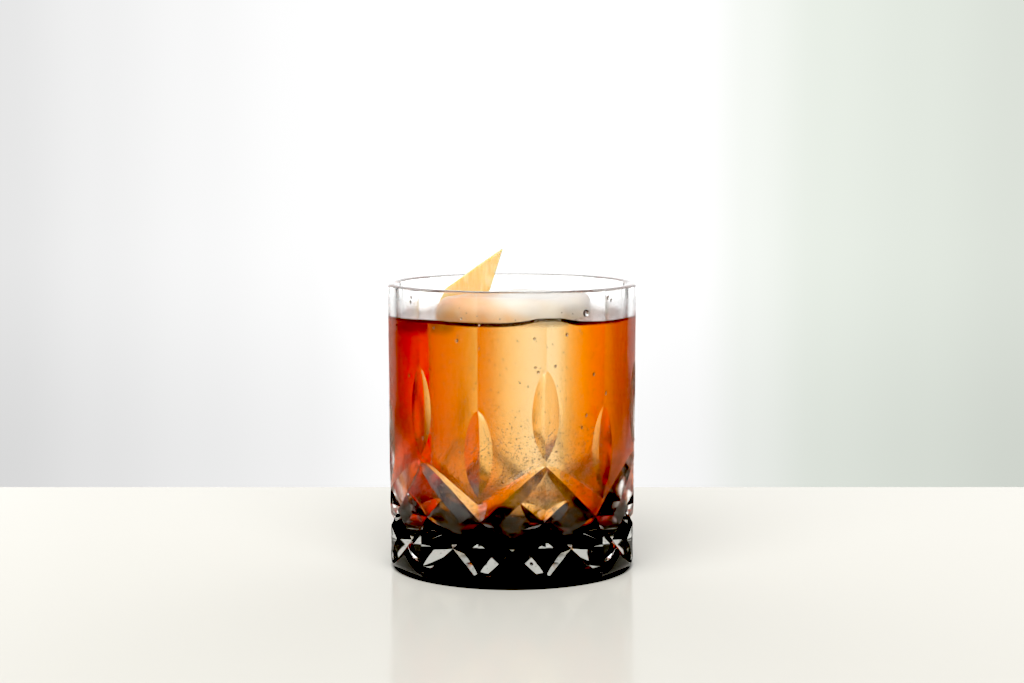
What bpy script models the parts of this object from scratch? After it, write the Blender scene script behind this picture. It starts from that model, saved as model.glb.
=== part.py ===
"""A heavy cut-glass tumbler holding an amber drink, one large clear block of ice and a pointed citrus peel.

Run it with: blender --background --python part.py

Lengths are metres and +Z is up. The origin is the middle of the tumbler's underside, and the side that
faces the drinker is -Y. Angles round the glass are degrees from -Y towards +X.
"""

import math

import bmesh
import bpy
from mathutils import Euler, Matrix, Vector

MM = 0.001
GAP = 0.3 * MM  # kept between pieces that touch

# The tumbler's body: a soft twelve-sided outside and a round inside.
HEIGHT = 94 * MM
RIM_CORNER_RADIUS = 41.6 * MM
FOOT_CORNER_RADIUS = 40.9 * MM
SIDES = 12
FIRST_CORNER = 15.0  # the angle of one vertical corner
SIDE_BOW_RADIUS = 80 * MM
FOOT_ROUNDING = 3.3 * MM
FOOT_RING_WIDTH = 7 * MM
FOOT_HOLLOW = 0.6 * MM
LIP_HEIGHT = 0.7 * MM
INSIDE_RIM_RADIUS = 37.7 * MM
INSIDE_LOW_RADIUS = 36.3 * MM
FLOOR_THICKNESS = 13.5 * MM
FLOOR_ROUNDING = 7 * MM
TURN_STEPS = 72  # straight steps in one turn

# The cuts. Each is a V that is repeated round the glass.
REPEATS = 6
UPRIGHT_SPREAD = 3.4  # half of the V's width for each unit of its depth
SLANTED_SPREAD = 1.35
TALL_CUT = {"angle": 15, "low": 40.4 * MM, "high": 69.4 * MM, "depth": 2.0 * MM}
LOW_CUT = {"angle": 45, "low": 28.8 * MM, "high": 56.8 * MM, "depth": 2.1 * MM}
APEX_HEIGHT = 39.3 * MM  # two long slanted cuts meet here, under each tall cut
SLANT = 0.615 * MM  # the fall for each degree round the glass
LONG_CUT = {"start": 0, "turn": 60, "depth": 3.2 * MM}
SHORT_CUT = {"start": 19, "turn": 41, "depth": 2.9 * MM}
SHORT_CUT_SHIFT = 30  # a short cut starts this far beside its apex
CUTTER_PROUD = 1.5 * MM  # how far a cutter stands out of the glass
CUTTER_STEPS = 10
CUTTER_LOOK_AHEAD = 0.01  # share of a cut's path over which its direction is taken
CUT_END_CLEARANCE = 0.12 * MM  # a cutter's tips end this far outside the glass
TALL_CUT_FULLER_ABOVE = 0.4  # 0 makes an upright cut the same above and below

# The drink.
DRINK_LEVEL = 82.5 * MM
MENISCUS_RISE = 1.1 * MM
MENISCUS_WIDTH = 2.2 * MM
MENISCUS_KNEE = 0.35  # share of the rise and of the width at the middle of its curve

# The tall block of ice. It floats a little above the floor, leans a little, and is narrower at the bottom.
# Seen from above it has four uneven sides. Its corners there are (x, y) points in mm, counterclockwise.
ICE_PLAN = [(-27.9, -24.1), (13.6, -37.7), (30.4, 8.0), (0.9, 39.1)]
ICE_CENTRE = Vector((4.0, -1.5, 55.8)) * MM
ICE_HEIGHT = 69 * MM
ICE_LEAN = -1.6
ICE_TAPER = 0.95
ICE_CORNER_RADIUS = 8.6 * MM
ICE_ROUNDING = 5.5 * MM
ICE_ARC_STEPS = 4

# The peel: a pointed leaf, tucked into the pocket at the back left. Its two edges are (x, z) points in mm.
PEEL_LEFT_EDGE = [(-3.6, 103.4), (-11.0, 98.4), (-22.8, 90.0), (-26.5, 86.0), (-27.5, 81.0), (-25.5, 76.5)]
PEEL_RIGHT_EDGE = [(-3.2, 103.4), (-7.4, 89.9), (-8.3, 88.6), (-9.4, 87.0), (-9.8, 82.0), (-14.0, 76.5)]
PEEL_MIDDLE = -18.5  # the x of its upright middle line, in mm
PEEL_DEPTH = 21 * MM
PEEL_THICKNESS = 1.6 * MM
PEEL_BEND_RADIUS = 40 * MM
PEEL_ROWS = 14
PEEL_COLUMNS = 6


def clear_scene():
    for thing in list(bpy.data.objects):
        bpy.data.objects.remove(thing, do_unlink=True)


def material(name, colour, roughness, transmission):
    made = bpy.data.materials.new(name)
    made.use_nodes = True
    shader = made.node_tree.nodes["Principled BSDF"]
    shader.inputs["Base Color"].default_value = (*colour, 1)
    shader.inputs["Roughness"].default_value = roughness
    shader.inputs["Metallic"].default_value = 0
    shader.inputs["Transmission Weight"].default_value = transmission
    return made


def new_object(name, mesh_builder, finish=None):
    """Turn a bmesh into an object of the scene. Without a finish it is a cutter, left out of renders."""
    bmesh.ops.recalc_face_normals(mesh_builder, faces=mesh_builder.faces)
    mesh = bpy.data.meshes.new(name)
    mesh_builder.to_mesh(mesh)
    mesh_builder.free()
    made = bpy.data.objects.new(name, mesh)
    bpy.context.collection.objects.link(made)
    if finish:
        mesh.materials.append(finish)
        mesh.shade_smooth()
        mesh.set_sharp_from_angle(angle=math.radians(25))
    else:
        made.hide_render = True
        made.display_type = "WIRE"
    return made


def cut(target, cutter):
    """Take the cutter's shape out of the target."""
    boolean = target.modifiers.new(cutter.name, "BOOLEAN")
    boolean.operation = "DIFFERENCE"
    boolean.solver = "EXACT"
    boolean.object = cutter


def polar(angle, radius, height):
    turn = math.radians(angle)
    return Vector((radius * math.sin(turn), -radius * math.cos(turn), height))


def side_radius(angle, corner_radius):
    """Radius of the twelve-sided outline: every side is an arc that meets the next one at a soft corner."""
    half_side = 180 / SIDES
    from_middle = math.radians((angle - FIRST_CORNER) % (2 * half_side) - half_side)
    half_chord = corner_radius * math.sin(math.radians(half_side))
    chord_distance = corner_radius * math.cos(math.radians(half_side))
    centre = math.sqrt(SIDE_BOW_RADIUS**2 - half_chord**2) - chord_distance
    across = centre * math.sin(from_middle)
    return math.sqrt(SIDE_BOW_RADIUS**2 - across**2) - centre * math.cos(from_middle)


def outside_radius(angle, height):
    share = height / HEIGHT
    corner_radius = FOOT_CORNER_RADIUS + (RIM_CORNER_RADIUS - FOOT_CORNER_RADIUS) * share
    return side_radius(angle, corner_radius)


def inside_wall_radius(height):
    share = (height - FLOOR_THICKNESS) / (HEIGHT - FLOOR_THICKNESS)
    return INSIDE_LOW_RADIUS + (INSIDE_RIM_RADIUS - INSIDE_LOW_RADIUS) * share


def loft(rings):
    """Skin closed rings of points one after the other, and close both ends with a flat face."""
    skin = bmesh.new()
    rows = [[skin.verts.new(point) for point in ring] for ring in rings]
    count = len(rows[0])
    for lower, upper in zip(rows, rows[1:]):
        for i in range(count):
            j = (i + 1) % count
            skin.faces.new((lower[i], lower[j], upper[j], upper[i]))
    skin.faces.new(rows[0])
    skin.faces.new(rows[-1])
    return skin


def turned_ring(radius, height):
    """A ring round the glass. The radius is a number or a function of the angle."""
    angles = [FIRST_CORNER + 360 * i / TURN_STEPS for i in range(TURN_STEPS)]
    return [polar(a, radius(a) if callable(radius) else radius, height) for a in angles]


def arc_steps(first, last, count):
    """Angles of an arc in radians, both ends included."""
    return [math.radians(first + (last - first) * i / count) for i in range(count + 1)]


def floor_profile(shrink):
    """(radius, height) pairs of the inside from the flat floor, round its corner, to the straight wall."""
    corner_height = FLOOR_THICKNESS + FLOOR_ROUNDING
    low_radius = inside_wall_radius(corner_height) - FLOOR_ROUNDING
    rounding = FLOOR_ROUNDING - shrink
    return [
        (low_radius + rounding * math.sin(a), corner_height - rounding * math.cos(a))
        for a in arc_steps(0, 90, 6)
    ]


def tumbler_rings():
    def outside(height, inset=0.0):
        return lambda angle: outside_radius(angle, height) - inset

    def lip(share):
        inside = inside_wall_radius(shoulder)
        return lambda angle: inside + (outside_radius(angle, shoulder) - inside) * share

    foot_inset = FOOT_ROUNDING + FOOT_RING_WIDTH
    shoulder = HEIGHT - LIP_HEIGHT
    above_cuts = TALL_CUT["high"] + 4 * MM
    rings = [
        turned_ring(outside(0, foot_inset + FOOT_HOLLOW), FOOT_HOLLOW),
        turned_ring(outside(0, foot_inset), 0),
    ]
    for a in arc_steps(0, 90, 4):
        height = FOOT_ROUNDING * (1 - math.cos(a))
        rings.append(turned_ring(outside(height, FOOT_ROUNDING * (1 - math.sin(a))), height))
    rings.append(turned_ring(outside(above_cuts), above_cuts))
    for a in arc_steps(0, 180, 6):
        rings.append(turned_ring(lip((1 + math.cos(a)) / 2), shoulder + LIP_HEIGHT * math.sin(a)))
    for radius, height in reversed(floor_profile(0)):
        rings.append(turned_ring(radius, height))
    return rings


def v_cutter(name, path, depth, spread):
    """A V-shaped bar along a path on the glass. path and depth take 0 to 1, along the cut."""
    sections = []
    for i in range(CUTTER_STEPS + 1):
        along = (1 - math.cos(math.pi * i / CUTTER_STEPS)) / 2
        angle, height = path(along)
        out = polar(angle, 1, 0)
        here = polar(angle, outside_radius(angle, height), height)
        ahead_angle, ahead_height = path(along + CUTTER_LOOK_AHEAD)
        ahead = polar(ahead_angle, outside_radius(ahead_angle, ahead_height), ahead_height)
        across = (ahead - here).cross(out).normalized()
        valley = here - out * depth(along)
        reach = depth(along) + CUTTER_PROUD
        arm = across * reach * spread
        sections.append((valley, valley + out * reach + arm, valley + out * reach - arm))
    return new_object(name, loft(sections))


def cut_depth(deepest, fullness):
    """Depth of a cut whose fullness is 0 at its ends, just clear of the glass, and 1 at its middle."""
    return (deepest + CUT_END_CLEARANCE) * fullness - CUT_END_CLEARANCE


def upright_cutter(name, shape, turn):
    """A leaf-shaped upright cut, pointed below and fuller above."""

    def path(along):
        return shape["angle"] + turn, shape["low"] + (shape["high"] - shape["low"]) * along

    def depth(along):
        rounded = max(4 * along * (1 - along), 0)
        return cut_depth(shape["depth"], rounded ** (1 - TALL_CUT_FULLER_ABOVE * along))

    return v_cutter(name, path, depth, UPRIGHT_SPREAD)


def slanted_cutter(name, shape, turn, way):
    """A slanted cut that falls from its start, to the right for way 1 and to the left for way -1."""

    def path(along):
        fallen = shape["start"] + shape["turn"] * along
        return FIRST_CORNER + turn + way * fallen, APEX_HEIGHT - SLANT * fallen

    def depth(along):
        rounded = max(4 * along * (1 - along), 0)
        return cut_depth(shape["depth"], math.sqrt(rounded))

    return v_cutter(name, path, depth, SLANTED_SPREAD)


def cutters():
    """Every cutter of the tumbler."""
    made = []
    for k in range(REPEATS):
        turn = 360 / REPEATS * k
        made.append(upright_cutter(f"tall_cutter_{k}", TALL_CUT, turn))
        made.append(upright_cutter(f"low_cutter_{k}", LOW_CUT, turn))
        for way in (-1, 1):
            side = "left" if way < 0 else "right"
            beside = turn - way * SHORT_CUT_SHIFT
            made.append(slanted_cutter(f"long_{side}_cutter_{k}", LONG_CUT, turn, way))
            made.append(slanted_cutter(f"short_{side}_cutter_{k}", SHORT_CUT, beside, way))
    return made


def make_tumbler():
    glass = material("glass", (0.95, 0.96, 0.96), 0.02, 1)
    tumbler = new_object("tumbler", loft(tumbler_rings()), glass)
    for cutter in cutters():
        cut(tumbler, cutter)
    return tumbler


def drink_rings():
    rings = [turned_ring(radius, height) for radius, height in floor_profile(GAP)]
    edge = inside_wall_radius(DRINK_LEVEL) - GAP
    for from_edge, risen in ((0, 1), (MENISCUS_KNEE, MENISCUS_KNEE), (1, 0)):
        radius = edge - MENISCUS_WIDTH * from_edge
        rings.append(turned_ring(radius, DRINK_LEVEL + MENISCUS_RISE * risen))
    return rings


def ice_outline(grow):
    """The block's outline seen from above, made larger by grow, with an arc at each corner."""
    plan = [Vector(corner) * MM for corner in ICE_PLAN]
    points = []
    for i, corner in enumerate(plan):
        back = (plan[i - 1] - corner).normalized()
        ahead = (plan[(i + 1) % len(plan)] - corner).normalized()
        inward = (back + ahead).normalized()
        half_corner = back.angle(ahead) / 2
        middle = corner + inward * ICE_CORNER_RADIUS / math.sin(half_corner)
        for k in range(ICE_ARC_STEPS + 1):
            turn = (math.pi / 2 - half_corner) * (2 * k / ICE_ARC_STEPS - 1)
            arm = Matrix.Rotation(turn, 2) @ -inward
            points.append(middle + arm * (ICE_CORNER_RADIUS + grow))
    return points


def ice_mesh(grow):
    """The block of ice, made larger all round by grow, with rounded rims at the top and the bottom."""
    half_height = ICE_HEIGHT / 2 + grow
    levels = []
    for a in arc_steps(0, 90, ICE_ARC_STEPS):
        levels.append((ICE_ROUNDING * (1 - math.sin(a)), ICE_ROUNDING * (1 - math.cos(a)) - half_height))
    levels += [(inset, -height) for inset, height in reversed(levels)]
    rings = []
    for inset, height in levels:
        width = ICE_TAPER + (1 - ICE_TAPER) * (height / ICE_HEIGHT + 0.5)
        outline = [(point - ICE_CENTRE.xy) * width for point in ice_outline(grow - inset)]
        rings.append([Vector((x, y, height)) for x, y in outline])
    block = loft(rings)
    lean = Euler((math.radians(ICE_LEAN), 0, 0)).to_matrix().to_4x4()
    block.transform(Matrix.Translation(ICE_CENTRE) @ lean)
    return block


def edge_x(edge, height):
    """The x of a peel edge at a height, straight between its points."""
    for (x_high, z_high), (x_low, z_low) in zip(edge, edge[1:]):
        if height >= z_low:
            return x_low + (x_high - x_low) * (height - z_low) / (z_high - z_low)
    return edge[-1][0]


def peel_mesh(grow):
    """The leaf of peel, made larger all round by grow. It bends back on both sides of its middle line."""
    top = PEEL_LEFT_EDGE[0][1]
    bottom = PEEL_LEFT_EDGE[-1][1]
    margin = grow / MM
    half = PEEL_THICKNESS / 2 + grow
    rings = []
    for row in range(PEEL_ROWS + 1):
        share = row / PEEL_ROWS
        height = top + (bottom - top) * share
        left = edge_x(PEEL_LEFT_EDGE, height) - margin
        right = edge_x(PEEL_RIGHT_EDGE, height) + margin
        placed = height + margin * (1 - 2 * share)
        front = []
        back = []
        for column in range(PEEL_COLUMNS + 1):
            x = left + (right - left) * column / PEEL_COLUMNS
            depth = PEEL_DEPTH + ((x - PEEL_MIDDLE) * MM) ** 2 / (2 * PEEL_BEND_RADIUS)
            front.append(Vector((x * MM, depth - half, placed * MM)))
            back.append(Vector((x * MM, depth + half, placed * MM)))
        rings.append(front + back[::-1])
    return loft(rings)


def make_drink():
    amber = material("drink", (0.80, 0.22, 0.03), 0.02, 1)
    drink = new_object("drink", loft(drink_rings()), amber)
    cut(drink, new_object("ice_hollow", ice_mesh(GAP)))
    cut(drink, new_object("peel_hollow", peel_mesh(GAP)))
    return drink


def make_ice():
    clear_ice = material("ice", (0.93, 0.95, 0.96), 0.08, 1)
    return new_object("ice_block", ice_mesh(0), clear_ice)


def make_peel():
    rind = material("rind", (0.93, 0.57, 0.20), 0.5, 0)
    return new_object("citrus_peel", peel_mesh(0), rind)


def main():
    clear_scene()
    make_tumbler()
    make_drink()
    make_ice()
    make_peel()


main()
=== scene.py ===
"""Looks of the whisky drink in its cut-glass tumbler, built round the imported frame.

Lengths are metres, +Z is up, and the camera looks along +Y.
Angles round the glass are degrees from -Y towards +X.
"""

import math

import bmesh
import bpy
import numpy as np
from mathutils import Euler, Matrix, Vector
from mathutils.bvhtree import BVHTree


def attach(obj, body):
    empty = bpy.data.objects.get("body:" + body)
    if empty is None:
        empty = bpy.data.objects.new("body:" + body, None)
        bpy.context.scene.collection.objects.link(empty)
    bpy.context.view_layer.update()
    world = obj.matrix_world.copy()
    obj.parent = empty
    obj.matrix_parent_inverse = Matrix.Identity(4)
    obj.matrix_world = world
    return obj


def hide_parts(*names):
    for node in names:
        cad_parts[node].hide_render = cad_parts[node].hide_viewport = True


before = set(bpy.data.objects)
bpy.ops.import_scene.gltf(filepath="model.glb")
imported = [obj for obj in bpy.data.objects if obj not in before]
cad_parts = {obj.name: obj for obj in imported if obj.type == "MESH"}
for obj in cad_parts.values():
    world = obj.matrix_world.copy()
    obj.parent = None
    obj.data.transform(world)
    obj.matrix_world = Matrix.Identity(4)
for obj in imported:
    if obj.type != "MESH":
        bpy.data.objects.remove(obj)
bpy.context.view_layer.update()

MM = 0.001

# The tumbler's body, with the same driving dimensions as its CAD solid.
HEIGHT = 94 * MM
RIM_CORNER_RADIUS = 41.6 * MM
FOOT_CORNER_RADIUS = 40.9 * MM
SIDES = 12
FIRST_CORNER = 15.0
SIDE_BOW_RADIUS = 80 * MM
FOOT_ROUNDING = 3.3 * MM
FOOT_RING_WIDTH = 7 * MM
FOOT_HOLLOW = 0.6 * MM
LIP_HEIGHT = 0.7 * MM
INSIDE_RIM_RADIUS = 37.7 * MM
INSIDE_LOW_RADIUS = 36.3 * MM
FLOOR_THICKNESS = 13.5 * MM
FLOOR_ROUNDING = 7 * MM

# How finely the tumbler is divided.
TURN_STEPS = 360
FOOT_HOLLOW_STEPS = 6
FOOT_STEPS = 10
BODY_STEPS = 12
LIP_STEPS = 16
WALL_STEPS = 8
FLOOR_STEPS = 16
GLASS_SHARP_ANGLE = 9

# The cuts. A spread is half a cut's width for each unit of its depth.
REPEATS = 6
UPRIGHT_SPREAD = 3.4
SLANTED_SPREAD = 1.35
TALL_CUT = {"angle": 15, "low": 40.4 * MM, "high": 69.4 * MM, "depth": 2.0 * MM}
LOW_CUT = {"angle": 45, "low": 28.8 * MM, "high": 56.8 * MM, "depth": 2.1 * MM}
UPRIGHT_FULLER_ABOVE = 0.4  # 0 makes an upright cut the same above and below
UPRIGHT_CLEARANCE = 0.1 * MM  # an upright cutter's tips end this far outside the glass
APEX_HEIGHT = 39.3 * MM
SLANT = 0.615 * MM  # the fall for each degree round the glass
LONG_CUT = {"start": 0, "turn": 60, "depth": 3.2 * MM}
SHORT_CUT = {"start": 19, "turn": 41, "depth": 2.9 * MM}
SHORT_CUT_SHIFT = 30
SLANTED_CLEARANCE = 0.15 * MM
CUTTER_PROUD = 1.5 * MM
CUTTER_STEPS = 48
CUTTER_LOOK_AHEAD = 0.01  # share of a cut's path over which its direction is taken

# What counts as the outside, because only the outside is misted.
OUTSIDE_MARGIN = 0.3 * MM
UNDERSIDE_TOP = 10 * MM
UNDERSIDE_INNER_RADIUS = 30 * MM

# The drink. It reaches a little into the wall and the ice, so that no air gap shows.
REACH = 0.15 * MM
DRINK_LEVEL = 82.5 * MM
SURFACE_DROP = 0.4 * MM  # the open surface lies this far under the level
MENISCUS_RISE = 1.5 * MM
MENISCUS_LENGTH = 1.5 * MM
WEDGE_RISE = 1.9 * MM  # the drink climbs higher where the ice is close to the wall
WEDGE_START = 1.2 * MM
WEDGE_LENGTH = 3.0 * MM
DRINK_WALL_TOP = DRINK_LEVEL - 2 * MM
DRINK_WALL_STEPS = 6
SURFACE_STEPS = 72
SURFACE_CROWDING = 0.8  # below 1 crowds the surface's rings near the wall
PEEL_OVERLAP = 0.1 * MM
PIECE_SHARP_ANGLE = 40

# The cola that has sunk below the whisky, in layers that thin out upwards.
COLA_TOP = 33.5 * MM
COLA_LAYERS = 10
COLA_LAYER_GAP = 0.01 * MM
COLA_DENSITY = 3500
COLA_FALL = 3.2 * MM
COLA_COLOUR = (0.905, 0.77, 0.5)
COLA_FLOOR_STEPS = 24
COLA_WALL_STEPS = 4
COLA_RING_GAP = 0.1 * MM

# The block of ice. Its plan holds its corners seen from above, in mm, from the front left one on.
ICE_PLAN = [(-27.9, -24.1), (13.6, -37.7), (30.4, 8.0), (0.9, 39.1)]
ICE_CENTRE = Vector((4.0, -1.5, 55.8)) * MM
ICE_HEIGHT = 69 * MM
ICE_LEAN = -1.6
ICE_TAPER = 0.95
ICE_CORNER_RADIUS = 8.6 * MM
ICE_ROUNDING = 5.5 * MM
ICE_CORNER_STEPS = 14
ICE_ROUNDING_STEPS = 10
ICE_WALL_STEPS = 12

# The leaf of peel. Its edges and its middle line are in mm.
PEEL_LEFT_EDGE = [(-3.6, 103.4), (-11.0, 98.4), (-22.8, 90.0), (-26.5, 86.0), (-27.5, 81.0), (-25.5, 76.5)]
PEEL_RIGHT_EDGE = [(-3.2, 103.4), (-7.4, 89.9), (-8.3, 88.6), (-9.4, 87.0), (-9.8, 82.0), (-14.0, 76.5)]
PEEL_DEPTH = 21 * MM
PEEL_THICKNESS = 1.6 * MM
PEEL_MIDDLE = -18.5
PEEL_BEND_RADIUS = 40 * MM
PEEL_ROWS = 60
PEEL_COLUMNS = 24

# The condensation. Heights and radii are in mm. The shares of fine drops go with the drop heights.
DROP_SEED = 7
FINE_DROPS = 12000
FINE_HEIGHTS = (3, 89)
FINE_RADII = (0.11, 0.26)
FINE_DOME = {"sides": 5, "rings": 1, "rise": 0.28}
DROP_HEIGHTS = (3, 14, 22, 30, 44, 52, 62, 84, 89)
DROP_SHARES = (0.02, 0.1, 0.7, 1.0, 0.7, 0.12, 0.04, 0.02, 0.02)
LARGE_DROPS = 70
LARGE_HEIGHTS = (8, 86)
LARGE_RADII = (0.3, 0.62)
LARGE_DOME = {"sides": 12, "rings": 5, "rise": 0.5}
# Single drops that show: angle, height and radius.
PLACED_DROPS = [
    (34.5, 86.8, 1.15), (47, 91.2, 0.7), (49.5, 90.2, 0.6), (-51.5, 89.5, 0.6), (-51.0, 91.0, 0.5)]
PLACED_DOME = {"sides": 20, "rings": 6, "rise": 0.35}
DROP_SINK = 0.02 * MM
RAY_START_RADIUS = 60 * MM

# The glass. Its mist is the roughness of its outside, which grows upwards and ends under the rim.
GLASS_IOR = 1.52
GLASS_COLOUR = (0.90, 0.96, 0.94)
GLASS_DENSITY = 8
MIST = 0.225
MIST_LOW = 0.05
MIST_RISES = (17 * MM, 27 * MM)
MIST_ENDS = (91.5 * MM, 89.5 * MM)
MIST_GRAIN_SCALE = 1400

# The liquids.
DRINK_IOR = 1.345
DRINK_COLOUR = (0.9625, 0.665, 0.09)
DRINK_DENSITY = 164
WATER_IOR = 1.33

# The ice is clear in the drink and frosted above it. The orange is painted light: the peel's colour seen
# through the frost.
# It fills the front of the left side, where x plus the height times the slope is under the edge.
ICE_IOR = 1.31
FROST_RISES = (DRINK_LEVEL - 0.5 * MM, DRINK_LEVEL + 1.2 * MM)
FROST_ROUGHNESS = (0.03, 0.45)
FROST_TRANSMISSION = (1.0, 0.30)
FROST_CLOUD_SCALE = 160
FROST_COLOUR = (0.90, 0.90, 0.88)
PEEL_GLOW_COLOUR = (1.0, 0.56, 0.23)
PEEL_GLOW_SLOPE = 1.9
PEEL_GLOW_EDGE = (171 * MM, 159 * MM)
PEEL_GLOW_DEPTH = (6 * MM, -6 * MM)
PEEL_GLOW_SCALE = 120

# The rind.
RIND_DARK = (1.0, 0.56, 0.25)
RIND_PALE = (1.0, 0.69, 0.40)
RIND_ROUGHNESS = 0.5
FIBRE_SCALE = 900
FIBRE_STRETCH = (1, 1, 0.16)
BLOTCH_SCALE = 260
BLOTCH_SHARE = 0.6
PORE_SCALE = 1500
PORE_SHARE = 0.5
RIND_BUMP = 0.35
RIND_BUMP_DEPTH = 0.15 * MM
RIND_GLOW = (1.0, 0.6, 0.3)
RIND_GLOW_DEPTH = 4 * MM

# The camera.
CAMERA_DISTANCE = 640 * MM
CAMERA_HEIGHT = 142.9 * MM
CAMERA_PITCH = 6.121
LENS = 68.47
SENSOR_WIDTH = 36

# The table, with a painted contact shadow under the foot, and a dark patch of painted shade just inside the
# glass.
TABLE_SIZE = (6, 4, 0.03)
TABLE_BACK_EDGE = 139 * MM
TABLE_CLEARANCE = 0.01 * MM
TABLE_COLOUR = (0.66, 0.645, 0.595)
TABLE_ROUGHNESS = 0.13
TABLE_IOR = 1.09
CONTACT_SHADOW_PAINT_COLOUR = (0.01, 0.008, 0.006)
CONTACT_SHADOW_PAINT_RADII = (39.3 * MM, 40.6 * MM)
PATCH_SHADE_COLOUR = (0.012, 0.008, 0.006)
PATCH_DEPTH = 0.05 * MM
PATCH_OVER_HOLLOW = 2 * MM
PATCH_END_ANGLE = 74  # how far up the foot's rounding the patch goes
PATCH_STEPS = 10
PATCH_NARROWER = 0.2 * MM
PATCH_THICKNESS = 0.1 * MM

# Black cards just outside the camera's view, which only reflections see.
CARD_SPREAD = 0.30
CARD_MARGIN = 10 * MM
CARD_NEAR = -450 * MM
CARD_FAR = 200 * MM
CARD_HEIGHT = 160 * MM
CARD_COLOUR = (0.005, 0.005, 0.005)

# Low black flags round the foot's back as painted shade, and between them a grey card that glows as painted
# light.
# Their angles are degrees from +Y, positive towards -X.
GREY_LEFT = 50
GREY_RIGHT = 30
FLAG_TO = 120
SCREEN_RADIUS = 46 * MM
SCREEN_HEIGHT = 17 * MM
SCREEN_STEPS = 24
GREY_FOOT = 2.0 * MM
SHADE_FLAG_COLOUR = (0.004, 0.003, 0.002)
GREY_GLOW = (1.0, 0.97, 0.91)
GREY_BRIGHTNESS = 0.58

# The studio. A ramp's stops go from the left to the right. The ranges are of a direction's x, y or z.
WALL_SEEN = [
    (0.0, 0.72), (0.375, 0.77), (0.396, 0.84), (0.421, 0.90), (0.446, 0.95), (0.47, 1.05), (0.52, 1.05),
    (0.545, 1.0), (0.561, (0.88, 0.905, 0.865)), (0.578, (0.79, 0.83, 0.77)),
    (0.602, (0.745, 0.785, 0.725)), (0.625, (0.70, 0.735, 0.68)), (1.0, (0.68, 0.71, 0.66))]
WALL_SEEN_LOW = (-0.17, -0.05)
WALL_SEEN_LOW_SHARE = 0.88
WALL = [
    (0.0, 0.03), (0.08, 0.06), (0.12, 0.4), (0.17, 0.96), (0.24, 1.5), (0.315, 1.75), (0.36, 1.7),
    (0.405, 1.5), (0.45, 1.42), (0.50, 1.42), (0.56, 1.42), (0.60, 1.45), (0.645, 1.5), (0.72, 1.6),
    (0.80, 1.5), (0.86, 1.0), (0.91, 0.1), (1.0, 0.03)]
SIDE_SHADE = (0.15, 0.15, 0.15)
SIDE_SHADE_ASIDE = (0.27, 0.5)
SIDE_SHADE_LOW = (-0.12, -0.19)
CAMERA_SIDE = (-0.25, 0.35)
CAMERA_SIDE_COLOUR = (0.02, 0.02, 0.02)
OVERHEAD = (0.35, 0.35, 0.335)
OVERHEAD_RISES = (0.55, 0.85)
KEY_STRENGTH = 3.85
KEY_SOFTNESS = 75
KEY_ELEVATION = 42
KEY_AZIMUTH = -8
CLEAR_BOUNCES = 32
GLOSSY_BOUNCES = 16
BLACK_LEVEL = 0.055
WHITE_LEVEL = 0.95


def polar(angle, radius, height):
    turn = math.radians(angle)
    return Vector((radius * math.sin(turn), -radius * math.cos(turn), height))


def arc_steps(first, last, count):
    """Angles of an arc in radians, both ends included."""
    return [math.radians(first + (last - first) * i / count) for i in range(count + 1)]


def side_radius(angle, corner_radius):
    """Radius of the outline of bowed sides at an angle."""
    half_side = 180 / SIDES
    from_middle = math.radians((angle - FIRST_CORNER) % (2 * half_side) - half_side)
    half_chord = corner_radius * math.sin(math.radians(half_side))
    chord_distance = corner_radius * math.cos(math.radians(half_side))
    centre = math.sqrt(SIDE_BOW_RADIUS**2 - half_chord**2) - chord_distance
    across = centre * math.sin(from_middle)
    return math.sqrt(SIDE_BOW_RADIUS**2 - across**2) - centre * math.cos(from_middle)


def outside_radius(angle, height):
    share = height / HEIGHT
    corner_radius = FOOT_CORNER_RADIUS + (RIM_CORNER_RADIUS - FOOT_CORNER_RADIUS) * share
    return side_radius(angle, corner_radius)


def inside_wall_radius(height):
    share = (height - FLOOR_THICKNESS) / (HEIGHT - FLOOR_THICKNESS)
    return INSIDE_LOW_RADIUS + (INSIDE_RIM_RADIUS - INSIDE_LOW_RADIUS) * share


def inside_radius(height):
    """Radius of the inside at a height, down its rounded corner too."""
    corner_height = FLOOR_THICKNESS + FLOOR_ROUNDING
    if height >= corner_height:
        return inside_wall_radius(height)
    low_radius = inside_wall_radius(corner_height) - FLOOR_ROUNDING
    drop = min(corner_height - height, FLOOR_ROUNDING)
    return low_radius + math.sqrt(FLOOR_ROUNDING**2 - drop**2)


def floor_profile(grow, steps):
    """(radius, height) pairs of the inside from the flat floor to the straight wall, grown outwards."""
    corner_height = FLOOR_THICKNESS + FLOOR_ROUNDING
    low_radius = inside_wall_radius(corner_height) - FLOOR_ROUNDING
    rounding = FLOOR_ROUNDING + grow
    return [
        (low_radius + rounding * math.sin(a), corner_height - rounding * math.cos(a))
        for a in arc_steps(0, 90, steps)
    ]


def turned_ring(radius, height):
    """A ring round the glass. The radius is a number or a function of the angle."""
    angles = [FIRST_CORNER + 360 * i / TURN_STEPS for i in range(TURN_STEPS)]
    return [polar(a, radius(a) if callable(radius) else radius, height) for a in angles]


def loft(rings):
    """Skin closed rings of points one after the other, and close both ends with a flat face."""
    skin = bmesh.new()
    rows = [[skin.verts.new(point) for point in ring] for ring in rings]
    count = len(rows[0])
    for lower, upper in zip(rows, rows[1:]):
        for i in range(count):
            j = (i + 1) % count
            skin.faces.new((lower[i], lower[j], upper[j], upper[i]))
    skin.faces.new(rows[0])
    skin.faces.new(rows[-1])
    return skin


def new_object(name, mesh_builder):
    bmesh.ops.recalc_face_normals(mesh_builder, faces=mesh_builder.faces)
    mesh = bpy.data.meshes.new(name)
    mesh_builder.to_mesh(mesh)
    mesh_builder.free()
    made = bpy.data.objects.new(name, mesh)
    bpy.context.scene.collection.objects.link(made)
    return made


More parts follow.
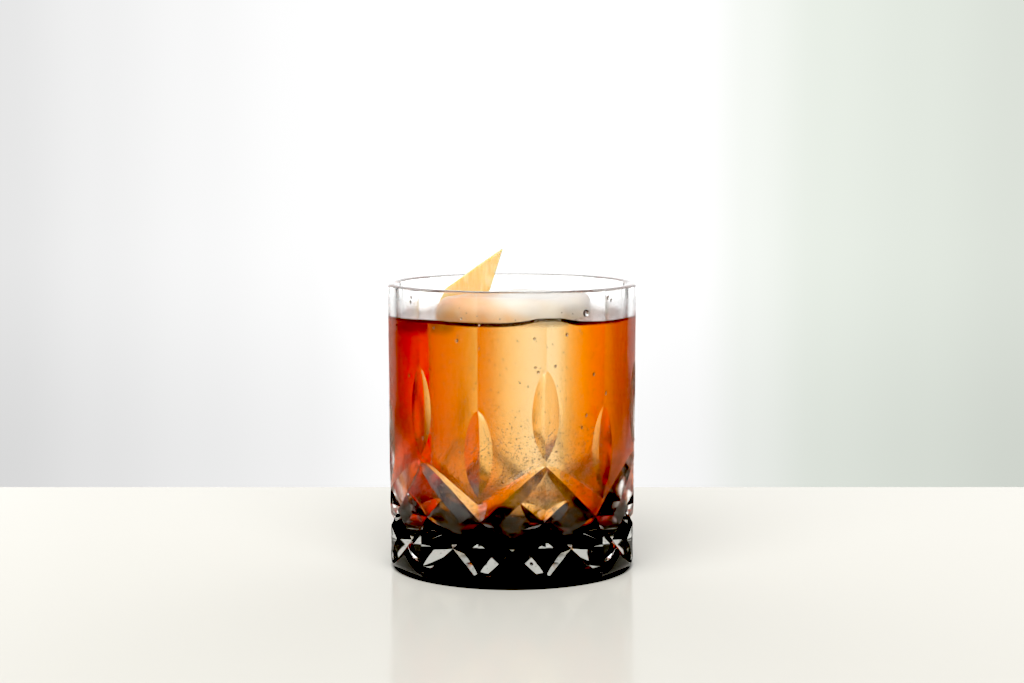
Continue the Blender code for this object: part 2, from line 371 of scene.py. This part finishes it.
def carve(target, cutters):
    """Take the cutters' shapes out of the target's mesh, and remove the cutters."""
    for cutter in cutters:
        boolean = target.modifiers.new(cutter.name, "BOOLEAN")
        boolean.operation = "DIFFERENCE"
        boolean.solver = "MANIFOLD"
        boolean.object = cutter
    graph = bpy.context.evaluated_depsgraph_get()
    mesh = bpy.data.meshes.new_from_object(target.evaluated_get(graph))
    target.modifiers.clear()
    target.data = mesh
    for cutter in cutters:
        bpy.data.objects.remove(cutter, do_unlink=True)


def smooth(piece, sharp_angle):
    """Shade smooth, but keep edges that are sharper than the angle."""
    piece.data.shade_smooth()
    piece.data.set_sharp_from_angle(angle=math.radians(sharp_angle))


def v_cutter(name, path, depth, spread):
    """A V-shaped cutter along a path on the glass. The path gives (angle, height) for 0 to 1."""
    sections = []
    for i in range(CUTTER_STEPS + 1):
        along = (1 - math.cos(math.pi * i / CUTTER_STEPS)) / 2
        angle, height = path(along)
        out = polar(angle, 1, 0)
        here = polar(angle, outside_radius(angle, height), height)
        ahead_angle, ahead_height = path(along + CUTTER_LOOK_AHEAD)
        ahead = polar(ahead_angle, outside_radius(ahead_angle, ahead_height), ahead_height)
        across = (ahead - here).cross(out).normalized()
        valley = here - out * depth(along)
        reach = depth(along) + CUTTER_PROUD
        arm = across * reach * spread
        sections.append((valley, valley + out * reach + arm, valley + out * reach - arm))
    return new_object(name, loft(sections))


def upright_cutter(name, shape, turn):
    def path(along):
        return shape["angle"] + turn, shape["low"] + (shape["high"] - shape["low"]) * along

    def depth(along):
        fullness = max(4 * along * (1 - along), 0) ** (1 - UPRIGHT_FULLER_ABOVE * along)
        return (shape["depth"] + UPRIGHT_CLEARANCE) * fullness - UPRIGHT_CLEARANCE

    return v_cutter(name, path, depth, UPRIGHT_SPREAD)


def slanted_cutter(name, shape, turn, way):
    def path(along):
        fallen = shape["start"] + shape["turn"] * along
        return FIRST_CORNER + turn + way * fallen, APEX_HEIGHT - SLANT * fallen

    def depth(along):
        fullness = math.sqrt(max(4 * along * (1 - along), 0))
        return (shape["depth"] + SLANTED_CLEARANCE) * fullness - SLANTED_CLEARANCE

    return v_cutter(name, path, depth, SLANTED_SPREAD)


def all_cutters():
    made = []
    for k in range(REPEATS):
        turn = 360 / REPEATS * k
        made.append(upright_cutter(f"tall_cutter_{k}", TALL_CUT, turn))
        made.append(upright_cutter(f"low_cutter_{k}", LOW_CUT, turn))
        for way in (-1, 1):
            short_turn = turn - way * SHORT_CUT_SHIFT
            made.append(slanted_cutter(f"long_cutter_{k}_{way}", LONG_CUT, turn, way))
            made.append(slanted_cutter(f"short_cutter_{k}_{way}", SHORT_CUT, short_turn, way))
    return made


def tumbler_rings():
    """Rings from the hollow under the foot, up the outside, over the lip and down to the floor."""
    def outside(height, inset=0.0):
        return lambda angle: outside_radius(angle, height) - inset

    rings = [turned_ring(outside(0, FOOT_ROUNDING + FOOT_RING_WIDTH + 2 * FOOT_HOLLOW), FOOT_HOLLOW)]
    for a in arc_steps(0, 90, FOOT_HOLLOW_STEPS):
        rings.append(turned_ring(
            outside(0, FOOT_ROUNDING + FOOT_RING_WIDTH + 2 * FOOT_HOLLOW * (1 - math.sin(a))),
            FOOT_HOLLOW * math.cos(a)))
    for a in arc_steps(0, 90, FOOT_STEPS):
        height = FOOT_ROUNDING * (1 - math.cos(a))
        rings.append(turned_ring(outside(height, FOOT_ROUNDING * (1 - math.sin(a))), height))
    shoulder = HEIGHT - LIP_HEIGHT
    for i in range(1, BODY_STEPS):
        height = FOOT_ROUNDING + (shoulder - FOOT_ROUNDING) * i / BODY_STEPS
        rings.append(turned_ring(outside(height), height))

    def lip(share):
        inside = inside_wall_radius(shoulder)
        return lambda angle: inside + (outside_radius(angle, shoulder) - inside) * share

    for a in arc_steps(0, 180, LIP_STEPS):
        rings.append(turned_ring(lip((1 + math.cos(a)) / 2), shoulder + LIP_HEIGHT * math.sin(a)))
    low = FLOOR_THICKNESS + FLOOR_ROUNDING
    for i in range(1, WALL_STEPS):
        height = shoulder + (low - shoulder) * i / WALL_STEPS
        rings.append(turned_ring(inside_wall_radius(height), height))
    for radius, height in reversed(floor_profile(0, FLOOR_STEPS)):
        rings.append(turned_ring(radius, height))
    return rings


def make_tumbler():
    """The cut tumbler, with a point attribute that is 1 on its outside."""
    tumbler = new_object("cut_glass", loft(tumbler_rings()))
    carve(tumbler, all_cutters())
    smooth(tumbler, GLASS_SHARP_ANGLE)
    layer = tumbler.data.attributes.new("outside", "FLOAT", "POINT")
    for vert, value in zip(tumbler.data.vertices, layer.data):
        from_axis = math.hypot(vert.co.x, vert.co.y)
        outer = from_axis > inside_wall_radius(vert.co.z) + OUTSIDE_MARGIN
        under_floor = vert.co.z < UNDERSIDE_TOP and from_axis > UNDERSIDE_INNER_RADIUS
        value.value = 1.0 if outer or under_floor else 0.0
    return tumbler


def ice_arcs():
    """For each corner of the block seen from above: its arc's middle, the way out, and half its angle."""
    plan = [Vector(corner) * MM for corner in ICE_PLAN]
    made = []
    for i, corner in enumerate(plan):
        back = (plan[i - 1] - corner).normalized()
        ahead = (plan[(i + 1) % len(plan)] - corner).normalized()
        half_corner = back.angle(ahead) / 2
        inward = (back + ahead).normalized()
        made.append((corner + inward * ICE_CORNER_RADIUS / math.sin(half_corner), -inward, half_corner))
    return made


def ice_outline(grow):
    """The block's rounded outline seen from above, grown outwards."""
    points = []
    for middle, outward, half_corner in ice_arcs():
        first = half_corner - math.pi / 2
        for k in range(ICE_CORNER_STEPS + 1):
            arm = outward.copy()
            arm.rotate(Matrix.Rotation(first * (1 - 2 * k / ICE_CORNER_STEPS), 2))
            points.append(middle + arm * (ICE_CORNER_RADIUS + grow))
    return points


def ice_mesh(grow):
    """The block grown all round, with rounded upright edges and rims, narrower below, and leaning."""
    half = ICE_HEIGHT / 2 + grow
    straight = half - ICE_ROUNDING
    levels = [(grow - ICE_ROUNDING * (1 - math.sin(a)), -half + ICE_ROUNDING * (1 - math.cos(a)))
              for a in arc_steps(0, 90, ICE_ROUNDING_STEPS)]
    levels += [(grow, -straight + 2 * straight * k / ICE_WALL_STEPS) for k in range(1, ICE_WALL_STEPS)]
    levels += [(grow - ICE_ROUNDING * (1 - math.cos(a)), half - ICE_ROUNDING * (1 - math.sin(a)))
               for a in arc_steps(0, 90, ICE_ROUNDING_STEPS)]
    middle = ICE_CENTRE.xy
    rings = []
    for outwards, height in levels:
        width = ICE_TAPER + (1 - ICE_TAPER) * (height / ICE_HEIGHT + 0.5)
        outline = ice_outline(outwards)
        rings.append([((point - middle) * width).to_3d() + Vector((0, 0, height)) for point in outline])
    block = loft(rings)
    lean = Euler((math.radians(ICE_LEAN), 0, 0)).to_matrix().to_4x4()
    block.transform(Matrix.Translation(ICE_CENTRE) @ lean)
    return block


def ice_hollow(overlap):
    """A cutter for the ice's hollow, smaller than the block all round, so that the two overlap."""
    return new_object("ice_hollow", ice_mesh(-overlap))


def make_ice():
    ice = new_object("ice_clear", ice_mesh(0.0))
    ice.data.shade_smooth()
    return ice


def ice_distance(point, middles):
    """Distance from a point to the block's side faces, from the middles of its corner arcs."""
    here = Vector((point.x, point.y))
    nearest = math.inf
    outside = False
    for i, start in enumerate(middles):
        along = middles[(i + 1) % len(middles)] - start
        share = min(max((here - start).dot(along) / along.length_squared, 0), 1)
        nearest = min(nearest, (start + along * share - here).length)
        outside = outside or along.cross(here - start) < 0
    return nearest - ICE_CORNER_RADIUS if outside else -ICE_CORNER_RADIUS


def drink_height(point, ice_middles):
    """Height of the drink's surface, which climbs at the wall and the ice, and most where they are close."""
    wall = inside_wall_radius(DRINK_LEVEL)
    from_wall = max(wall - math.hypot(point.x, point.y), 0)
    from_ice = max(ice_distance(point, ice_middles), 0)
    by_wall = math.exp(-from_wall / MENISCUS_LENGTH)
    by_ice = math.exp(-from_ice / MENISCUS_LENGTH)
    wedge = WEDGE_RISE * by_wall * math.exp(-max(from_ice - WEDGE_START, 0) / WEDGE_LENGTH)
    return DRINK_LEVEL - SURFACE_DROP + MENISCUS_RISE * max(by_wall, by_ice) + wedge


def make_drink():
    rings = [turned_ring(radius, height) for radius, height in floor_profile(REACH, FLOOR_STEPS)]
    low = FLOOR_THICKNESS + FLOOR_ROUNDING
    for i in range(1, DRINK_WALL_STEPS + 1):
        height = low + (DRINK_WALL_TOP - low) * i / DRINK_WALL_STEPS
        rings.append(turned_ring(inside_wall_radius(height) + REACH, height))
    edge = inside_wall_radius(DRINK_LEVEL) + REACH
    ice_middles = [middle for middle, _, _ in ice_arcs()]
    for i in range(SURFACE_STEPS):
        ring = turned_ring(edge * (1 - i / SURFACE_STEPS) ** SURFACE_CROWDING, DRINK_LEVEL)
        for point in ring:
            point.z = drink_height(point, ice_middles)
        rings.append(ring)
    drink = new_object("drink_amber", loft(rings))
    carve(drink, [ice_hollow(REACH), new_object("peel_hollow", peel_mesh(-PEEL_OVERLAP))])
    smooth(drink, PIECE_SHARP_ANGLE)
    return drink


def cola_rings(index, low, high):
    """Rings of one layer of cola. The lowest layer follows the floor's rounded corner."""
    if index == 0:
        profile = [(r, h) for r, h in floor_profile(REACH / 2, COLA_FLOOR_STEPS) if h < high - COLA_RING_GAP]
        profile.append((inside_radius(high) + REACH / 2, high))
    else:
        heights = [low + (high - low) * k / COLA_WALL_STEPS for k in range(COLA_WALL_STEPS + 1)]
        profile = [(inside_radius(h) + REACH / 2, h) for h in heights]
    return [turned_ring(radius, height) for radius, height in profile]


def make_cola():
    """The layers of cola, each with its own material."""
    pieces = []
    thickness = (COLA_TOP - FLOOR_THICKNESS) / COLA_LAYERS
    for i in range(COLA_LAYERS):
        low = FLOOR_THICKNESS + thickness * i
        layer = new_object(f"cola_layer_{i}", loft(cola_rings(i, low, low + thickness - COLA_LAYER_GAP)))
        carve(layer, [ice_hollow(REACH / 2)])
        smooth(layer, PIECE_SHARP_ANGLE)
        above_floor = low + thickness / 2 - FLOOR_THICKNESS
        pieces.append((layer, cola_material(i, COLA_DENSITY * math.exp(-above_floor / COLA_FALL))))
    return pieces


def edge_x(edge, height):
    """The x of a peel edge at a height, straight between its points."""
    for (x_high, z_high), (x_low, z_low) in zip(edge, edge[1:]):
        if height >= z_low:
            return x_low + (x_high - x_low) * (height - z_low) / (z_high - z_low)
    return edge[-1][0]


def peel_mesh(grow):
    """The leaf of peel, grown sideways and in thickness. It bends back on both sides of its middle line."""
    top = PEEL_LEFT_EDGE[0][1]
    bottom = PEEL_LEFT_EDGE[-1][1]
    half = PEEL_THICKNESS / 2 + grow
    rings = []
    for row in range(PEEL_ROWS + 1):
        height = top + (bottom - top) * row / PEEL_ROWS
        left = edge_x(PEEL_LEFT_EDGE, height) - grow / MM
        right = edge_x(PEEL_RIGHT_EDGE, height) + grow / MM
        front = []
        back = []
        for column in range(PEEL_COLUMNS + 1):
            x = left + (right - left) * column / PEEL_COLUMNS
            depth = PEEL_DEPTH + ((x - PEEL_MIDDLE) * MM) ** 2 / (2 * PEEL_BEND_RADIUS)
            front.append(Vector((x * MM, depth - half, height * MM)))
            back.append(Vector((x * MM, depth + half, height * MM)))
        rings.append(front + back[::-1])
    return loft(rings)


def make_peel():
    peel = new_object("rind_leaf", peel_mesh(0))
    smooth(peel, PIECE_SHARP_ANGLE)
    return peel


def dome(skin, centre, out, radius, sides, rings, rise):
    """A drop that sits on a surface: a closed dome, sunk a little into it."""
    across = out.orthogonal().normalized()
    other = out.cross(across)
    rows = []
    for k in range(rings):
        lift = math.radians(90 * k / rings)
        row = []
        for i in range(sides):
            turn = 2 * math.pi * i / sides
            flat = (across * math.cos(turn) + other * math.sin(turn)) * radius * math.cos(lift)
            row.append(skin.verts.new(centre + flat + out * (radius * rise * math.sin(lift) - DROP_SINK)))
        rows.append(row)
    top = skin.verts.new(centre + out * (radius * rise - DROP_SINK))
    for low, high in zip(rows, rows[1:]):
        for i in range(sides):
            j = (i + 1) % sides
            skin.faces.new((low[i], low[j], high[j], high[i]))
    for i in range(sides):
        skin.faces.new((rows[-1][i], rows[-1][(i + 1) % sides], top))
    skin.faces.new(rows[0][::-1])


def surface_point(tree, angle, height):
    """Where a level ray from outside towards the axis meets the glass: its place and the way out."""
    start = polar(angle, RAY_START_RADIUS, height)
    place, normal, _, _ = tree.ray_cast(start, Vector((-start.x, -start.y, 0)).normalized())
    return place, normal


def drop_share(height):
    """How many fine drops there are at a height, from 0 to 1."""
    return float(np.interp(height / MM, DROP_HEIGHTS, DROP_SHARES))


def make_drops(tree):
    """The fine condensation and the larger drops, on the glass that the tree holds."""
    rng = np.random.default_rng(DROP_SEED)
    fine = bmesh.new()
    made = 0
    while made < FINE_DROPS:
        angle = rng.uniform(0, 360)
        height = rng.uniform(*FINE_HEIGHTS) * MM
        keep = rng.uniform()
        radius = rng.uniform(*FINE_RADII) * MM
        if keep > drop_share(height):
            continue
        dome(fine, *surface_point(tree, angle, height), radius, **FINE_DOME)
        made += 1
    large = bmesh.new()
    for _ in range(LARGE_DROPS):
        angle = rng.uniform(0, 360)
        height = rng.uniform(*LARGE_HEIGHTS) * MM
        radius = rng.uniform(*LARGE_RADII) * MM
        dome(large, *surface_point(tree, angle, height), radius, **LARGE_DOME)
    for angle, height, radius in PLACED_DROPS:
        dome(large, *surface_point(tree, angle, height * MM), radius * MM, **PLACED_DOME)
    pieces = new_object("fine_drops", fine), new_object("large_drops", large)
    for piece in pieces:
        piece.data.shade_smooth()
    return pieces


def shader_material(name):
    made = bpy.data.materials.new(name)
    made.use_nodes = True
    return made, made.node_tree.nodes, made.node_tree.links, made.node_tree.nodes["Principled BSDF"]


def clear_material(name, ior):
    made, nodes, links, shader = shader_material(name)
    shader.inputs["Base Color"].default_value = (1, 1, 1, 1)
    shader.inputs["Roughness"].default_value = 0
    shader.inputs["IOR"].default_value = ior
    shader.inputs["Transmission Weight"].default_value = 1
    return made, nodes, links, shader


def matt_material(name, colour):
    """A surface without any shine."""
    made, _, _, shader = shader_material(name)
    shader.inputs["Base Color"].default_value = (*colour, 1)
    shader.inputs["Specular IOR Level"].default_value = 0
    shader.inputs["Roughness"].default_value = 1
    return made


def absorb(nodes, links, colour, density):
    volume = nodes.new("ShaderNodeVolumeAbsorption")
    volume.inputs["Color"].default_value = (*colour, 1)
    volume.inputs["Density"].default_value = density
    links.new(volume.outputs["Volume"], nodes["Material Output"].inputs["Volume"])


def place_output(nodes, kind="Object"):
    return nodes.new("ShaderNodeTexCoord").outputs[kind]


def xyz_outputs(nodes, links, place):
    parts = nodes.new("ShaderNodeSeparateXYZ")
    links.new(place, parts.inputs["Vector"])
    return parts.outputs


def noise_node(nodes, links, place, scale, detail=3.0, stretch=None):
    noise = nodes.new("ShaderNodeTexNoise")
    noise.inputs["Scale"].default_value = scale
    noise.inputs["Detail"].default_value = detail
    if stretch:
        mapping = nodes.new("ShaderNodeMapping")
        mapping.inputs["Scale"].default_value = stretch
        links.new(place, mapping.inputs["Vector"])
        place = mapping.outputs["Vector"]
    links.new(place, noise.inputs["Vector"])
    return noise.outputs["Fac"]


def math_node(nodes, links, operation, *values):
    node = nodes.new("ShaderNodeMath")
    node.operation = operation
    for i, value in enumerate(values):
        if isinstance(value, (int, float)):
            node.inputs[i].default_value = value
        else:
            links.new(value, node.inputs[i])
    return node.outputs["Value"]


def product(nodes, links, first, *others):
    result = first
    for other in others:
        result = math_node(nodes, links, "MULTIPLY", result, other)
    return result


def map_range(nodes, links, value, from_min, from_max, to_min=0.0, to_max=1.0, eased=True):
    node = nodes.new("ShaderNodeMapRange")
    node.interpolation_type = "SMOOTHSTEP" if eased else "LINEAR"
    node.inputs["From Min"].default_value = from_min
    node.inputs["From Max"].default_value = from_max
    node.inputs["To Min"].default_value = to_min
    node.inputs["To Max"].default_value = to_max
    links.new(value, node.inputs["Value"])
    return node.outputs["Result"]


def mix_node(nodes, links, factor, a, b):
    node = nodes.new("ShaderNodeMix")
    node.data_type = "RGBA"
    links.new(factor, node.inputs["Factor"])
    for name, value in (("A", a), ("B", b)):
        if isinstance(value, tuple):
            node.inputs[name].default_value = (*value, 1)
        else:
            links.new(value, node.inputs[name])
    return node.outputs["Result"]


def ramp(nodes, links, value, stops):
    node = nodes.new("ShaderNodeValToRGB")
    node.color_ramp.interpolation = "EASE"
    elements = node.color_ramp.elements
    while len(elements) > 1:
        elements.remove(elements[-1])
    for i, (place, colour) in enumerate(stops):
        element = elements[0] if i == 0 else elements.new(place)
        element.position = place
        element.color = (*colour, 1) if isinstance(colour, tuple) else (colour, colour, colour, 1)
    links.new(value, node.inputs["Fac"])
    return node.outputs["Color"]


def glass_material():
    made, nodes, links, shader = clear_material("clear_glass", GLASS_IOR)
    absorb(nodes, links, GLASS_COLOUR, GLASS_DENSITY)
    outside = nodes.new("ShaderNodeAttribute")
    outside.attribute_name = "outside"
    place = place_output(nodes)
    _, _, height = xyz_outputs(nodes, links, place)
    rising = map_range(nodes, links, height, *MIST_RISES, MIST_LOW, MIST)
    fading = map_range(nodes, links, height, *MIST_ENDS)
    noise = noise_node(nodes, links, place, MIST_GRAIN_SCALE)
    grain = map_range(nodes, links, noise, 0.35, 0.65, to_min=0.85, to_max=1.15)
    misted = product(nodes, links, rising, fading, grain, outside.outputs["Fac"])
    links.new(misted, shader.inputs["Roughness"])
    return made


def drink_material():
    made, nodes, links, _ = clear_material("amber_drink", DRINK_IOR)
    absorb(nodes, links, DRINK_COLOUR, DRINK_DENSITY)
    return made


def cola_material(index, density):
    """It only absorbs light, and neither bends nor reflects it."""
    made, nodes, links, shader = clear_material(f"cola_{index}", 1.0)
    shader.inputs["Specular IOR Level"].default_value = 0
    absorb(nodes, links, COLA_COLOUR, density)
    return made


def ice_material():
    made, nodes, links, shader = clear_material("wet_ice", ICE_IOR)
    place = place_output(nodes)
    x, y, height = xyz_outputs(nodes, links, place)
    cloud_noise = noise_node(nodes, links, place, FROST_CLOUD_SCALE)
    cloud = map_range(nodes, links, cloud_noise, 0.3, 0.7, to_min=0.75)
    frost = product(nodes, links, map_range(nodes, links, height, *FROST_RISES), cloud)
    for socket, span in (("Roughness", FROST_ROUGHNESS), ("Transmission Weight", FROST_TRANSMISSION)):
        links.new(map_range(nodes, links, frost, 0, 1, *span, eased=False), shader.inputs[socket])
    slanted = math_node(nodes, links, "ADD", product(nodes, links, height, PEEL_GLOW_SLOPE), x)
    glow_noise = noise_node(nodes, links, place, PEEL_GLOW_SCALE)
    glow = product(
        nodes, links,
        map_range(nodes, links, slanted, *PEEL_GLOW_EDGE),
        map_range(nodes, links, y, *PEEL_GLOW_DEPTH),
        map_range(nodes, links, glow_noise, 0.3, 0.6, to_min=0.7),
        frost)
    # Painted light: the frost turns orange where the peel's colour would show through it.
    links.new(mix_node(nodes, links, glow, FROST_COLOUR, PEEL_GLOW_COLOUR), shader.inputs["Base Color"])
    return made


def rind_material():
    """Orange rind, paler along its fibres and in blotches, with darker pores."""
    made, nodes, links, shader = shader_material("citrus_rind")
    place = place_output(nodes)
    fibres = noise_node(nodes, links, place, FIBRE_SCALE, stretch=FIBRE_STRETCH)
    blotches = noise_node(nodes, links, place, BLOTCH_SCALE, detail=2)
    pores = nodes.new("ShaderNodeTexVoronoi")
    pores.inputs["Scale"].default_value = PORE_SCALE
    links.new(place, pores.inputs["Vector"])
    pits = map_range(nodes, links, pores.outputs["Distance"], 0.05, 0.32)
    pits = math_node(nodes, links, "ADD", product(nodes, links, pits, PORE_SHARE), 1 - PORE_SHARE)
    pale = math_node(nodes, links, "ADD", fibres, product(nodes, links, blotches, BLOTCH_SHARE))
    pale = product(nodes, links, map_range(nodes, links, pale, 0.5, 1.1), pits)
    links.new(mix_node(nodes, links, pale, RIND_DARK, RIND_PALE), shader.inputs["Base Color"])
    bump = nodes.new("ShaderNodeBump")
    bump.inputs["Strength"].default_value = RIND_BUMP
    bump.inputs["Distance"].default_value = RIND_BUMP_DEPTH
    links.new(pale, bump.inputs["Height"])
    links.new(bump.outputs["Normal"], shader.inputs["Normal"])
    shader.inputs["Roughness"].default_value = RIND_ROUGHNESS
    shader.inputs["Subsurface Weight"].default_value = 1
    shader.inputs["Subsurface Radius"].default_value = RIND_GLOW
    shader.inputs["Subsurface Scale"].default_value = RIND_GLOW_DEPTH
    return made


def dress(piece, made, node):
    piece.data.materials.clear()
    piece.data.materials.append(made)
    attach(piece, "root")
    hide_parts(node)


def make_table():
    slab = bmesh.new()
    bmesh.ops.create_cube(slab, size=1)
    bmesh.ops.scale(slab, vec=TABLE_SIZE, verts=slab.verts)
    middle = (0, TABLE_BACK_EDGE - TABLE_SIZE[1] / 2, -TABLE_SIZE[2] / 2 - TABLE_CLEARANCE)
    bmesh.ops.translate(slab, vec=middle, verts=slab.verts)
    table = new_object("table", slab)
    made, nodes, links, shader = shader_material("table_top")
    shader.inputs["Roughness"].default_value = TABLE_ROUGHNESS
    shader.inputs["IOR"].default_value = TABLE_IOR
    from_axis = nodes.new("ShaderNodeVectorMath")
    from_axis.operation = "LENGTH"
    links.new(place_output(nodes), from_axis.inputs[0])
    # Painted contact shadow: the top is dark under the foot and turns to the table's colour outside it.
    outside_painted_shadow = map_range(nodes, links, from_axis.outputs["Value"], *CONTACT_SHADOW_PAINT_RADII, eased=False)
    links.new(mix_node(nodes, links, outside_painted_shadow, CONTACT_SHADOW_PAINT_COLOUR, TABLE_COLOUR), shader.inputs["Base Color"])
    table.data.materials.append(made)


def make_contact_patch():
    """A dark skin under the foot, painted contact shade, so that the base doesn't show the table."""
    inner = FOOT_CORNER_RADIUS - FOOT_ROUNDING - FOOT_RING_WIDTH
    profile = [(inner - PATCH_OVER_HOLLOW, FOOT_HOLLOW + PATCH_DEPTH), (inner, PATCH_DEPTH)]
    arc_middle = FOOT_CORNER_RADIUS * math.cos(math.radians(180 / SIDES)) - FOOT_ROUNDING
    arc_radius = FOOT_ROUNDING - PATCH_DEPTH
    for a in arc_steps(0, PATCH_END_ANGLE, PATCH_STEPS):
        profile.append((arc_middle + arc_radius * math.sin(a), FOOT_ROUNDING - arc_radius * math.cos(a)))
    rings = [turned_ring(radius, height) for radius, height in profile]
    for radius, height in profile[::-1]:
        rings.append(turned_ring(radius - PATCH_NARROWER, height + PATCH_THICKNESS))
    contact = new_object("contact_shade_patch", loft(rings))
    contact.data.materials.append(matt_material("contact_shadow", PATCH_SHADE_COLOUR))


def make_side_cards():
    black = matt_material("black_card", CARD_COLOUR)
    for side, name in ((-1, "card_left"), (1, "card_right")):
        card = bmesh.new()
        outline = []
        for y, z in ((CARD_NEAR, 0), (CARD_FAR, 0), (CARD_FAR, CARD_HEIGHT), (CARD_NEAR, CARD_HEIGHT)):
            aside = CARD_SPREAD * (y + CAMERA_DISTANCE) + CARD_MARGIN
            outline.append(card.verts.new((side * aside, y, z)))
        card.faces.new(outline)
        piece = new_object(name, card)
        piece.data.materials.append(black)
        piece.visible_camera = False
        piece.visible_diffuse = False
        piece.visible_transmission = False
        piece.visible_shadow = False


def low_screen(name, first, last, low, high, made):
    """An upright strip round the foot, seen only through the glass."""
    strip = bmesh.new()
    low_row = []
    high_row = []
    for k in range(SCREEN_STEPS + 1):
        turn = first + (last - first) * k / SCREEN_STEPS
        low_row.append(strip.verts.new(polar(180 + turn, SCREEN_RADIUS, low)))
        high_row.append(strip.verts.new(polar(180 + turn, SCREEN_RADIUS, high)))
    for k in range(SCREEN_STEPS):
        strip.faces.new((low_row[k], low_row[k + 1], high_row[k + 1], high_row[k]))
    piece = new_object(name, strip)
    piece.data.materials.append(made)
    piece.visible_camera = False
    piece.visible_diffuse = False
    piece.visible_glossy = False
    piece.visible_shadow = False


def make_low_screens():
    # The flags are painted shade: only rays through the glass see them, and they neither block light nor
    # show.
    black = matt_material("black_flag", SHADE_FLAG_COLOUR)
    low_screen("flag_left", GREY_LEFT, FLAG_TO, 0, SCREEN_HEIGHT, black)
    low_screen("flag_right", -FLAG_TO, -GREY_RIGHT, 0, SCREEN_HEIGHT, black)
    low_screen("flag_under_card", -GREY_RIGHT, GREY_LEFT, 0, GREY_FOOT, black)
    # The grey card glows with painted light, in place of light falling on it.
    grey, _, _, shader = shader_material("glowing_grey_card")
    shader.inputs["Base Color"].default_value = (0, 0, 0, 1)
    shader.inputs["Specular IOR Level"].default_value = 0
    shader.inputs["Emission Color"].default_value = (*GREY_GLOW, 1)
    shader.inputs["Emission Strength"].default_value = GREY_BRIGHTNESS
    low_screen("card_back", -GREY_RIGHT, GREY_LEFT, GREY_FOOT, SCREEN_HEIGHT, grey)


def make_room():
    world = bpy.data.worlds.new("studio")
    bpy.context.scene.world = world
    world.use_nodes = True
    nodes = world.node_tree.nodes
    links = world.node_tree.links
    x, y, z = xyz_outputs(nodes, links, place_output(nodes, "Generated"))
    # From left to right: the bright wall behind the glass falls off to both sides.
    sideways = map_range(nodes, links, x, -1, 1, eased=False)
    wall = ramp(nodes, links, sideways, WALL)
    # The sides are darker near the floor.
    aside = map_range(nodes, links, math_node(nodes, links, "ABSOLUTE", x), *SIDE_SHADE_ASIDE)
    low = map_range(nodes, links, z, *SIDE_SHADE_LOW)
    wall = mix_node(nodes, links, product(nodes, links, aside, low), wall, SIDE_SHADE)
    # From the camera's side, dark, to the wall.
    wall = mix_node(nodes, links, map_range(nodes, links, y, *CAMERA_SIDE), CAMERA_SIDE_COLOUR, wall)
    # The soft light overhead.
    wall = mix_node(nodes, links, map_range(nodes, links, z, *OVERHEAD_RISES), wall, OVERHEAD)
    # What the camera sees directly is the pale backdrop, with painted shade towards both sides and towards
    # the floor.
    seen = nodes.new("ShaderNodeVectorMath")
    seen.operation = "SCALE"
    links.new(ramp(nodes, links, sideways, WALL_SEEN), seen.inputs["Vector"])
    share = map_range(nodes, links, z, *WALL_SEEN_LOW, to_min=WALL_SEEN_LOW_SHARE)
    links.new(share, seen.inputs["Scale"])
    path = nodes.new("ShaderNodeLightPath")
    wall = mix_node(nodes, links, path.outputs["Is Camera Ray"], wall, seen.outputs["Vector"])
    links.new(wall, nodes["Background"].inputs["Color"])


def make_camera():
    data = bpy.data.cameras.new("camera")
    data.lens = LENS
    data.sensor_width = SENSOR_WIDTH
    camera = bpy.data.objects.new("camera", data)
    bpy.context.scene.collection.objects.link(camera)
    camera.location = (0, -CAMERA_DISTANCE, CAMERA_HEIGHT)
    camera.rotation_euler = (math.radians(90 - CAMERA_PITCH), 0, 0)
    bpy.context.scene.camera = camera


def make_key_light():
    data = bpy.data.lights.new("key", "SUN")
    data.energy = KEY_STRENGTH
    data.angle = math.radians(KEY_SOFTNESS)
    key = bpy.data.objects.new("key", data)
    bpy.context.scene.collection.objects.link(key)
    key.visible_glossy = False
    key.rotation_euler = (math.radians(90 - KEY_ELEVATION), 0, math.radians(KEY_AZIMUTH))


def set_light_paths():
    """Let light cross the glass, the drink and the ice, and set the view's black and white levels."""
    scene = bpy.context.scene
    scene.cycles.max_bounces = CLEAR_BOUNCES
    scene.cycles.transmission_bounces = CLEAR_BOUNCES
    scene.cycles.glossy_bounces = GLOSSY_BOUNCES
    scene.cycles.use_denoising = True
    view = scene.view_settings
    view.view_transform = "Standard"
    view.use_curve_mapping = True
    view.curve_mapping.black_level = [BLACK_LEVEL] * 3
    view.curve_mapping.white_level = [WHITE_LEVEL] * 3
    view.curve_mapping.update()


def make_stage():
    make_camera()
    make_room()
    make_key_light()
    make_table()
    make_contact_patch()
    make_side_cards()
    make_low_screens()
    set_light_paths()


def make_pieces():
    ice = make_ice()
    drink = make_drink()
    tumbler = make_tumbler()
    tree = BVHTree.FromPolygons(
        [v.co.copy() for v in tumbler.data.vertices], [tuple(p.vertices) for p in tumbler.data.polygons])
    drops = make_drops(tree)
    peel = make_peel()
    for layer, made in make_cola():
        dress(layer, made, "drink")
    water = clear_material("water_drops", WATER_IOR)[0]
    for piece in drops:
        piece.data.materials.append(water)
        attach(piece, "root")
    dress(tumbler, glass_material(), "tumbler")
    dress(drink, drink_material(), "drink")
    dress(ice, ice_material(), "ice_block")
    dress(peel, rind_material(), "citrus_peel")


make_stage()
make_pieces()
